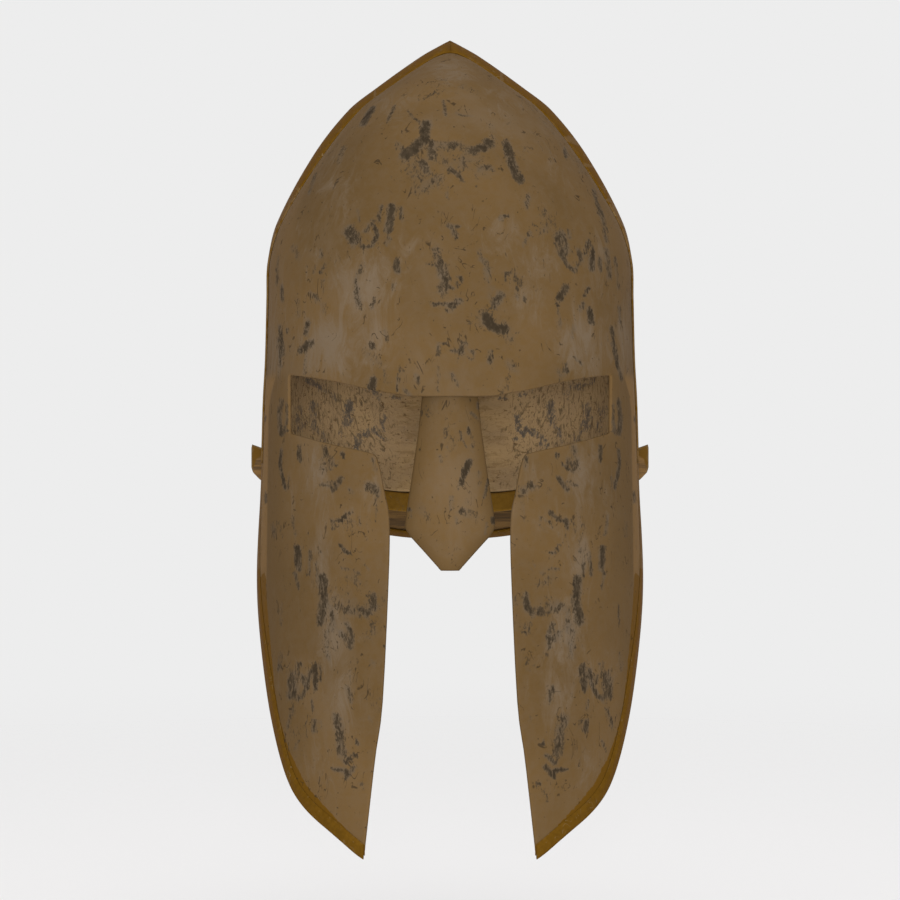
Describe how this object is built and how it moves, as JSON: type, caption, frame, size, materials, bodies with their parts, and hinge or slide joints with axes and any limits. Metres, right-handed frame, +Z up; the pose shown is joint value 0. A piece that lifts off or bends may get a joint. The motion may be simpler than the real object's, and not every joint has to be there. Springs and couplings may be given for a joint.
{
  "type": "corinthian helmet",
  "caption": "closed bronze helmet with a pointed crown, eye slots, a nose guard, long pointed cheek guards, a flared neck guard and a lining, worn over the head",
  "frame": {"origin": "where the top of the wearer's head sits, on the middle line inside the crown", "axes": "+Z up, the face looks along -Y, +X at the wearer's left hand"},
  "size_m": [0.1924, 0.2438, 0.374],
  "materials": {
    "bronze": "aged matte tan bronze, with dark scuffs and scratches",
    "ochre_edging": "worn ochre brass edging",
    "lining": "rough speckled hide"
  },
  "bodies": {
    "root": {"front_shell": "bronze", "rear_shell": "bronze", "nasal": "bronze", "neck_guard": "bronze", "crown_band": "ochre_edging", "cheek_trim_left": "ochre_edging", "cheek_trim_right": "ochre_edging", "neck_guard_trim": "ochre_edging", "nape_band": "ochre_edging", "lining": "lining"}
  },
  "joints": []
}
